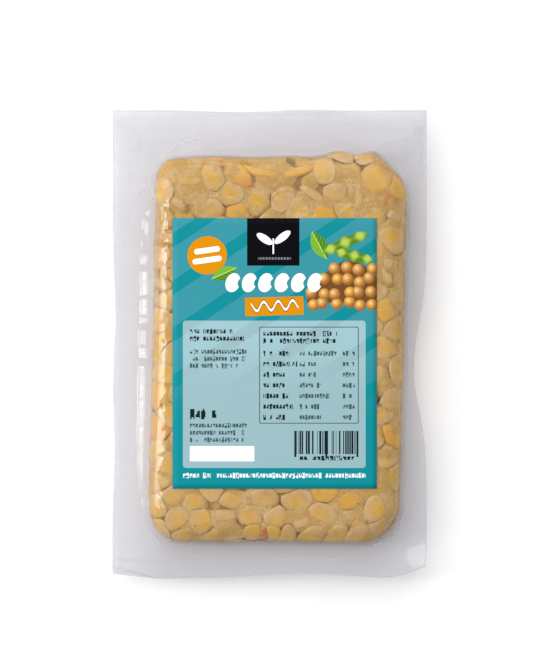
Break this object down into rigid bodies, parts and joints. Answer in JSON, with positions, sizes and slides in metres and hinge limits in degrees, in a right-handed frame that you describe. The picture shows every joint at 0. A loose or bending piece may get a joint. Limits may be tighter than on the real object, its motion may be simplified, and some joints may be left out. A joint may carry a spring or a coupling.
{
  "type": "vacuum-packed tempeh cake",
  "caption": "Flat cake of fermented soybean halves, vacuum sealed in a clear film pouch with a wide seam all round and a printed label on its front.",
  "frame": {"origin": "middle of the pouch's outline, on the plane that its flat back rests on", "axes": "+Z out of the labelled front, +Y towards the pouch's top edge, +X to the right as the label is seen"},
  "size_m": [0.11, 0.164, 0.0186],
  "materials": {
    "tempeh_in_film": "clear gloss film drawn tight over pale yellow and tan soybean halves",
    "label_print": "satin printed film label in turquoise"
  },
  "bodies": {
    "root": {"pouch": "tempeh_in_film", "label": "label_print"}
  },
  "joints": []
}
